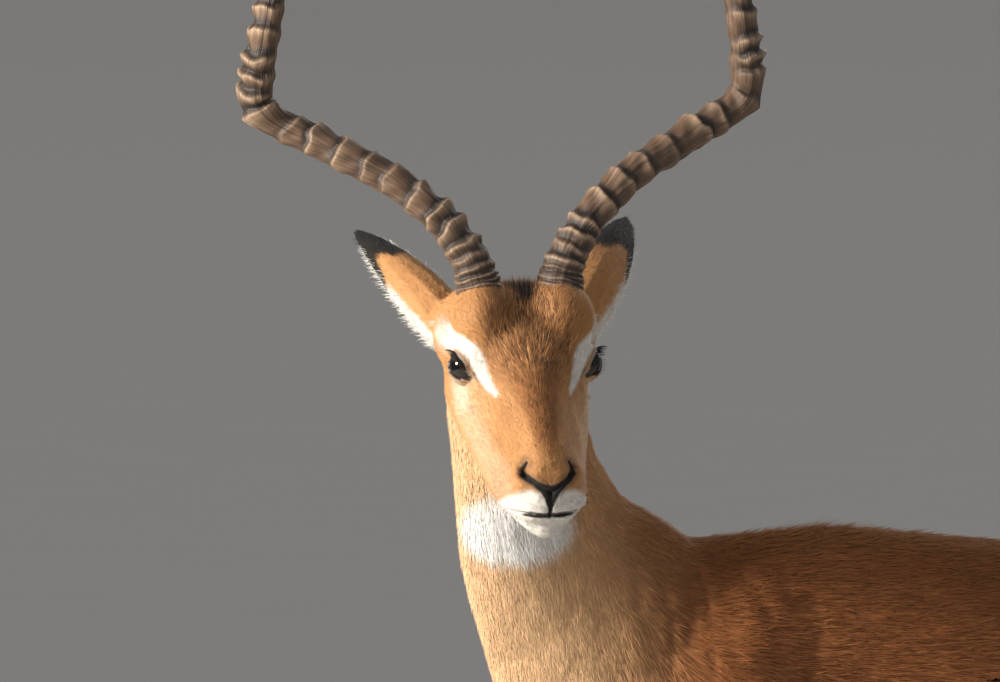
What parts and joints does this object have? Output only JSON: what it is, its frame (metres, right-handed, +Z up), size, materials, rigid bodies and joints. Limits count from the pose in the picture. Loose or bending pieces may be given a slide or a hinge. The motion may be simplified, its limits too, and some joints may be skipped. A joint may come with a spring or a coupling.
{
  "type": "impala antelope",
  "caption": "Life-size impala ram, an African antelope with ringed lyre-shaped horns, standing square with its head turned over its left shoulder.",
  "frame": {"origin": "on the floor, under the centre of the animal's bounding box", "axes": "+Z up, the body points along -X, the animal's left side faces -Y and the head looks along -Y"},
  "size_m": [1.2252, 0.4134, 1.5419],
  "materials": {
    "coat": "short fawn and red-brown hair with white and black markings",
    "horn": "ringed grey-brown horn, satin",
    "eye": "wet dark brown",
    "hoof": "smooth black hoof horn"
  },
  "bodies": {
    "root": {"head": "coat", "neck": "coat", "trunk": "coat", "tail": "coat", "ear_left": "coat", "ear_right": "coat", "foreleg_left": "coat", "foreleg_right": "coat", "hindleg_left": "coat", "hindleg_right": "coat", "eye_left": "eye", "eye_right": "eye", "horn_left": "horn", "horn_right": "horn", "hoof_fore_left_outer": "hoof", "hoof_fore_left_inner": "hoof", "hoof_fore_right_outer": "hoof", "hoof_fore_right_inner": "hoof", "hoof_hind_left_outer": "hoof", "hoof_hind_left_inner": "hoof", "hoof_hind_right_outer": "hoof", "hoof_hind_right_inner": "hoof"}
  },
  "joints": []
}
